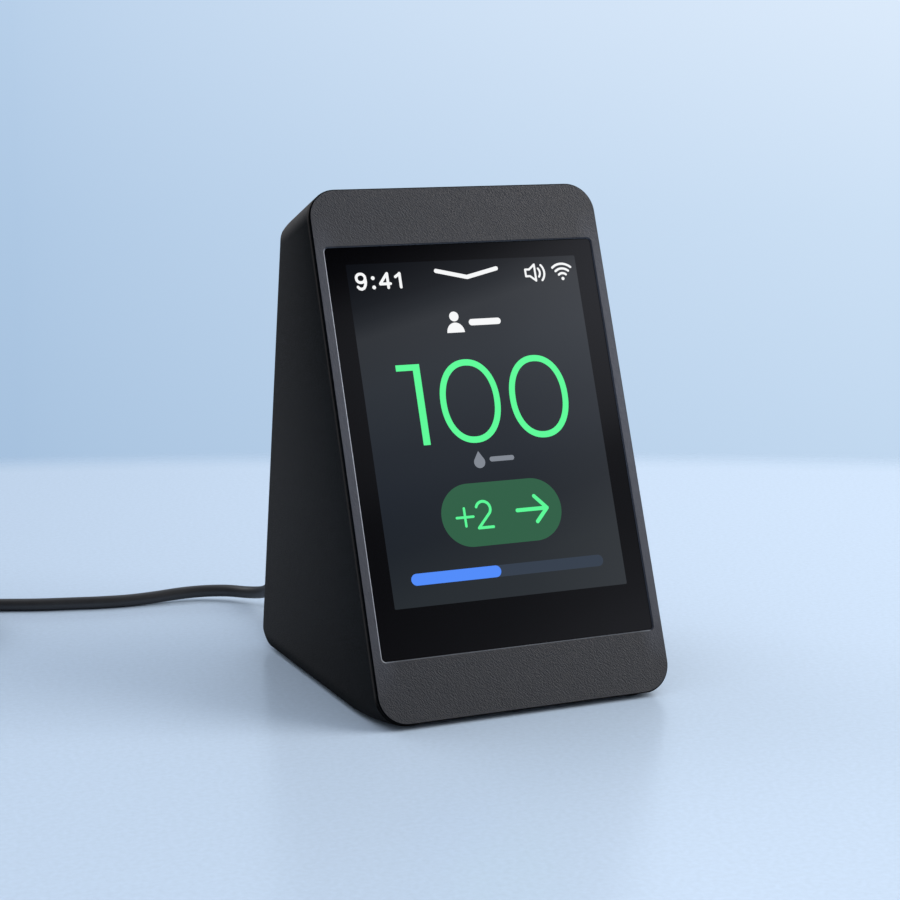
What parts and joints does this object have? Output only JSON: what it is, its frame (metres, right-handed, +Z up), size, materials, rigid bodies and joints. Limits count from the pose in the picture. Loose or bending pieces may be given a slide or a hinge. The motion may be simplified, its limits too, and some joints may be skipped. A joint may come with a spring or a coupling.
{
  "type": "table-top glucose display",
  "caption": "Corded table-top display for glucose readings: a tilted touch screen in a wedge housing with rear speaker grille, push buttons, rubber feet and a coiled power lead.",
  "frame": {"origin": "middle of the housing's footprint, on the surface that the rubber feet stand on", "axes": "+Z up; the screen faces -Y and leans back; +X to the right seen from the screen side"},
  "size_m": [0.1943, 0.1563, 0.1208],
  "materials": {
    "housing_plastic": "Fine spark-eroded texture, near black, soft sheen",
    "bezel_plastic": "Fine leather grain, dark grey, satin",
    "cover_plastic": "Fine texture, near black",
    "button_plastic": "Smooth satin, near black",
    "plunger_plastic": "Moulded natural white",
    "cover_glass": "Hard cover glass with a dark printed border, polished",
    "display_panel": "Thin display cell behind the glass",
    "black_tape": "Thin bonding tape",
    "pressed_steel": "Pressed sheet, bright zinc",
    "tinned_steel": "Tinned sheet can",
    "connector_steel": "Nickel-plated shell, satin",
    "magnet_steel": "Plated magnet cup",
    "screw_steel": "Zinc-plated screw",
    "dark_screw_steel": "Blackened screw",
    "circuit_board": "Green solder mask",
    "component_resin": "Moulded resin of electronic parts",
    "flex_film": "Amber polyimide film",
    "speaker_paper": "Coated paper cone",
    "black_foam": "Closed-cell foam ring",
    "foot_rubber": "Soft rubber, matt",
    "lead_sheath": "Smooth flexible sheath, satin",
    "tie_rubber": "Soft silicone band",
    "plug_plastic": "Overmoulded grip, satin",
    "label_film": "Blank silver label film"
  },
  "bodies": {
    "display_unit": {"front_bezel": "bezel_plastic", "cover_glass": "cover_glass", "glass_tape": "black_tape", "display_cell": "display_panel", "backlight_tray": "pressed_steel", "display_bracket": "pressed_steel", "bracket_screws": "screw_steel", "display_flex": "flex_film", "rear_housing": "housing_plastic", "bottom_cover": "cover_plastic", "cover_screws": "dark_screw_steel", "rubber_feet": "foot_rubber", "main_board": "circuit_board", "board_screws": "screw_steel", "processor_shield": "tinned_steel", "wifi_module": "tinned_steel", "board_parts": "component_resin", "usb_socket": "connector_steel", "antenna_patch": "flex_film", "speaker_frame": "component_resin", "speaker_cone": "speaker_paper", "speaker_magnet": "magnet_steel", "speaker_gasket": "black_foam", "speaker_clamp": "pressed_steel", "clamp_screws": "screw_steel", "button_board": "circuit_board", "button_board_screws": "screw_steel", "switch_cases": "component_resin", "plug_shell": "connector_steel", "plug_grip": "plug_plastic", "lead": "lead_sheath", "lead_coil": "lead_sheath", "coil_tie": "tie_rubber", "lead_tail": "lead_sheath", "usb_plug_grip": "plug_plastic", "usb_plug_shell": "connector_steel", "usb_plug_insert": "plunger_plastic", "button_flex": "flex_film", "speaker_cable": "lead_sheath", "antenna_cable": "lead_sheath", "rating_label": "label_film"},
    "power_key": {"power_button": "button_plastic", "power_plunger": "plunger_plastic"},
    "volume_down_key": {"volume_down_button": "button_plastic", "volume_down_plunger": "plunger_plastic"},
    "volume_up_key": {"volume_up_button": "button_plastic", "volume_up_plunger": "plunger_plastic"}
  },
  "joints": [
    {"name": "power_press", "type": "slide", "parent": "display_unit", "child": "power_key", "axis": [0, -0.9848, -0.1736], "range_m": [0, 0.0004], "stiffness_N_per_m": 350, "springref_m": -0.0006},
    {"name": "volume_down_press", "type": "slide", "parent": "display_unit", "child": "volume_down_key", "axis": [0, -0.9848, -0.1736], "range_m": [0, 0.0004], "stiffness_N_per_m": 350, "springref_m": -0.0006},
    {"name": "volume_up_press", "type": "slide", "parent": "display_unit", "child": "volume_up_key", "axis": [0, -0.9848, -0.1736], "range_m": [0, 0.0004], "stiffness_N_per_m": 350, "springref_m": -0.0006}
  ]
}
